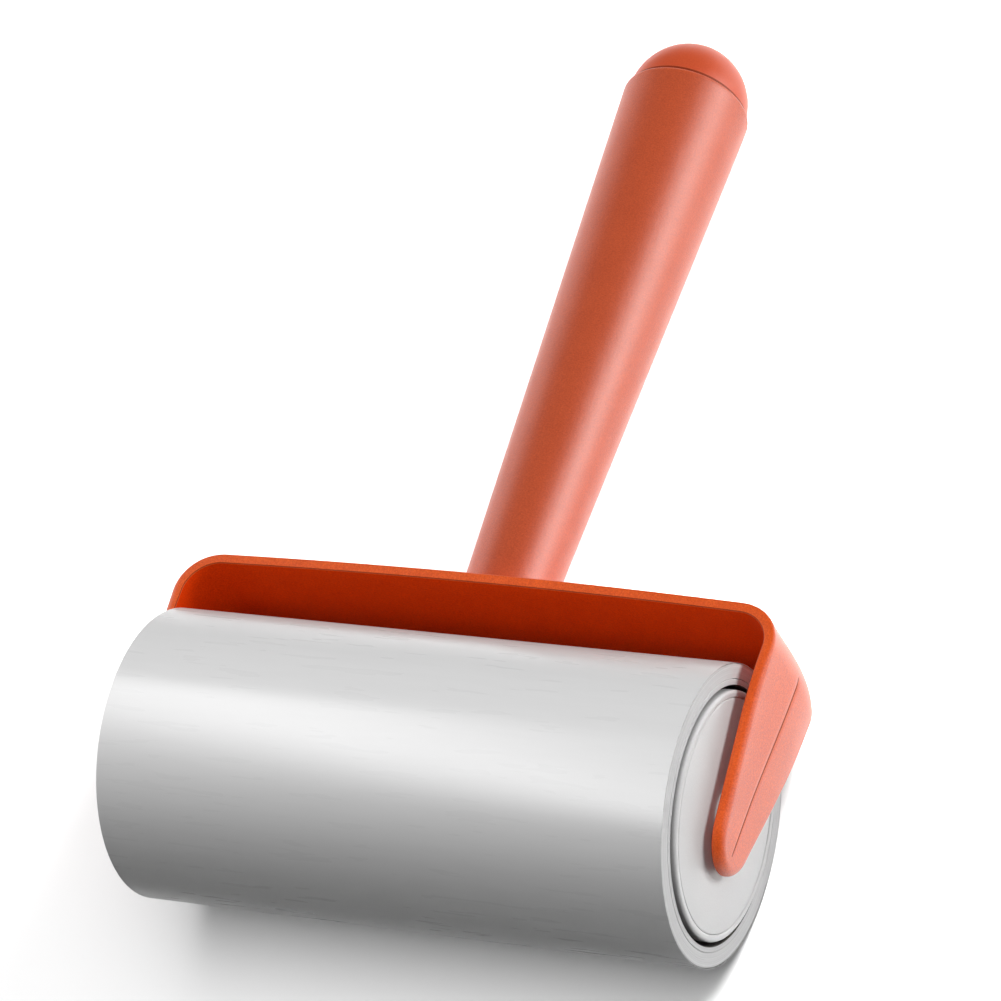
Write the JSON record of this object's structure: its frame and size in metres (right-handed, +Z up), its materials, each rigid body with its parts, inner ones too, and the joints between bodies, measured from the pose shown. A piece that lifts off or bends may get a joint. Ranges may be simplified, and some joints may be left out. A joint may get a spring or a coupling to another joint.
{
  "type": "lint roller",
  "caption": "Lint roller: a thin moulded yoke with a tapered handle and domed end carries a free-spinning drum with a refill of wound adhesive sheets.",
  "frame": {"origin": "middle of the footprint on the surface that the roller lies on: the roll and the thick end of the handle both touch it", "axes": "+X along the roll's axis to its right end, +Y from the roll towards the handle's end, +Z up"},
  "size_m": [0.1106, 0.1768, 0.0486],
  "materials": {
    "yoke_plastic": "matte, fine moulded grain",
    "handle_plastic": "soft satin, fine grain",
    "cap_plastic": "satin",
    "pin_steel": "ground",
    "washer_nylon": "natural nylon",
    "insert_brass": "knurled",
    "screw_steel": "zinc plated",
    "barrel_plastic": "plain moulded",
    "disc_plastic": "satin",
    "bush_acetal": "smooth",
    "core_board": "white card",
    "sheet_paper": "satin coated paper"
  },
  "bodies": {
    "frame": {"yoke": "yoke_plastic", "left_pivot_pin": "pin_steel", "right_pivot_pin": "pin_steel", "left_thrust_washer": "washer_nylon", "right_thrust_washer": "washer_nylon", "spigot_insert": "insert_brass", "handle_tube": "handle_plastic", "handle_screw": "screw_steel", "handle_screw_washer": "screw_steel", "handle_end_cap": "cap_plastic"},
    "drum": {"drum_barrel": "barrel_plastic", "left_drum_cap": "disc_plastic", "right_drum_cap": "disc_plastic", "left_cover_disc": "disc_plastic", "right_cover_disc": "disc_plastic", "left_bush": "bush_acetal", "right_bush": "bush_acetal", "paper_core": "core_board", "adhesive_roll": "sheet_paper", "outer_sheet": "sheet_paper"}
  },
  "joints": [
    {"name": "drum_spin", "type": "hinge", "parent": "frame", "child": "drum", "pos_m": [0, -0.06409, 0.0243], "axis": [1, 0, 0], "continuous": true}
  ]
}
